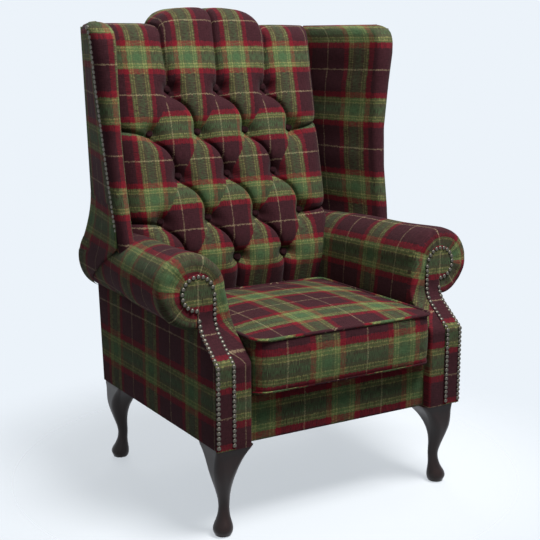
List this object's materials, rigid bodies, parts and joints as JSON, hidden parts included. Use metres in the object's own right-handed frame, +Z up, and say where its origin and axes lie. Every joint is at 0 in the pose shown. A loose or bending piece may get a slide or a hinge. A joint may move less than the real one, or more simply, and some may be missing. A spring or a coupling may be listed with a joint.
{
  "type": "fireside wing chair",
  "caption": "High-backed fireside wing chair with a deep-buttoned back, flared wings, nailed scroll arms, a loose box cushion and cabriole legs, covered in tartan wool.",
  "frame": {"origin": "on the floor, on the mirror plane, midway between the foremost and rearmost points", "axes": "+X to the viewer's right with the chair facing the viewer, -Y to the front, +Z up"},
  "size_m": [0.8274, 0.72, 1.1199],
  "materials": {
    "leg_wood": "dark stained and polished",
    "frame_wood": "bare sawn hardwood",
    "zinc_steel": "plain zinc",
    "glide_steel": "dull nickel",
    "spring_steel": "oiled wire",
    "nail_metal": "antiqued domes",
    "hessian": "coarse jute",
    "dust_cloth": "black bonded cloth",
    "padding": "foam and wadding",
    "platform_cloth": "plain lining cloth",
    "tartan_wool": "felted wool tartan in plum, red and green",
    "zip_tape": "woven tape with a nylon coil",
    "zip_metal": "antiqued"
  },
  "bodies": {
    "chair": {"arm_facing_left": "tartan_wool", "arm_facing_right": "tartan_wool", "arm_pad_left": "padding", "arm_pad_right": "padding", "arm_post_left": "frame_wood", "arm_post_right": "frame_wood", "arm_tacking_rails": "frame_wood", "arm_top_rail_left": "frame_wood", "arm_top_rail_right": "frame_wood", "back_buttons": "tartan_wool", "back_foam": "padding", "back_leg_left": "leg_wood", "back_leg_right": "leg_wood", "back_post_left": "frame_wood", "back_post_right": "frame_wood", "back_seat_rail": "frame_wood", "back_tacking_rail": "frame_wood", "back_webbing": "hessian", "button_twines": "hessian", "corner_block_screws": "zinc_steel", "corner_blocks": "frame_wood", "crest_rail": "frame_wood", "dust_cover": "dust_cloth", "foot_glides": "glide_steel", "front_border_cover": "tartan_wool", "front_leg_left": "leg_wood", "front_leg_right": "leg_wood", "front_seat_rail": "frame_wood", "inside_arm_cover_left": "tartan_wool", "inside_arm_cover_right": "tartan_wool", "inside_back_cover": "tartan_wool", "inside_wing_cover_left": "tartan_wool", "inside_wing_cover_right": "tartan_wool", "leg_hanger_bolts": "zinc_steel", "outside_arm_cover_left": "tartan_wool", "outside_arm_cover_right": "tartan_wool", "outside_back_cover": "tartan_wool", "outside_wing_cover_left": "tartan_wool", "outside_wing_cover_right": "tartan_wool", "seat_hessian": "hessian", "seat_platform_cover": "platform_cloth", "seat_platform_pad": "padding", "seat_spring_clips": "spring_steel", "seat_springs": "spring_steel", "side_seat_rail_left": "frame_wood", "side_seat_rail_right": "frame_wood", "upholstery_nails": "nail_metal", "wing_pad_left": "padding", "wing_pad_right": "padding", "wing_post_left": "frame_wood", "wing_post_right": "frame_wood", "wing_top_rail_left": "frame_wood", "wing_top_rail_right": "frame_wood"},
    "cushion": {"cushion_core": "padding", "cushion_top_panel": "tartan_wool", "cushion_bottom_panel": "tartan_wool", "cushion_boxing": "tartan_wool", "cushion_piping": "tartan_wool", "zip_tape": "zip_tape"},
    "zip_slider": {"zip_slider": "zip_metal"}
  },
  "joints": [
    {"name": "cushion_lift", "type": "slide", "parent": "chair", "child": "cushion", "axis": [0, -0.766, 0.6428], "range_m": [0, 0.66]},
    {"name": "zip_run", "type": "slide", "parent": "cushion", "child": "zip_slider", "axis": [-1, 0, 0], "range_m": [0, 0.355]}
  ]
}
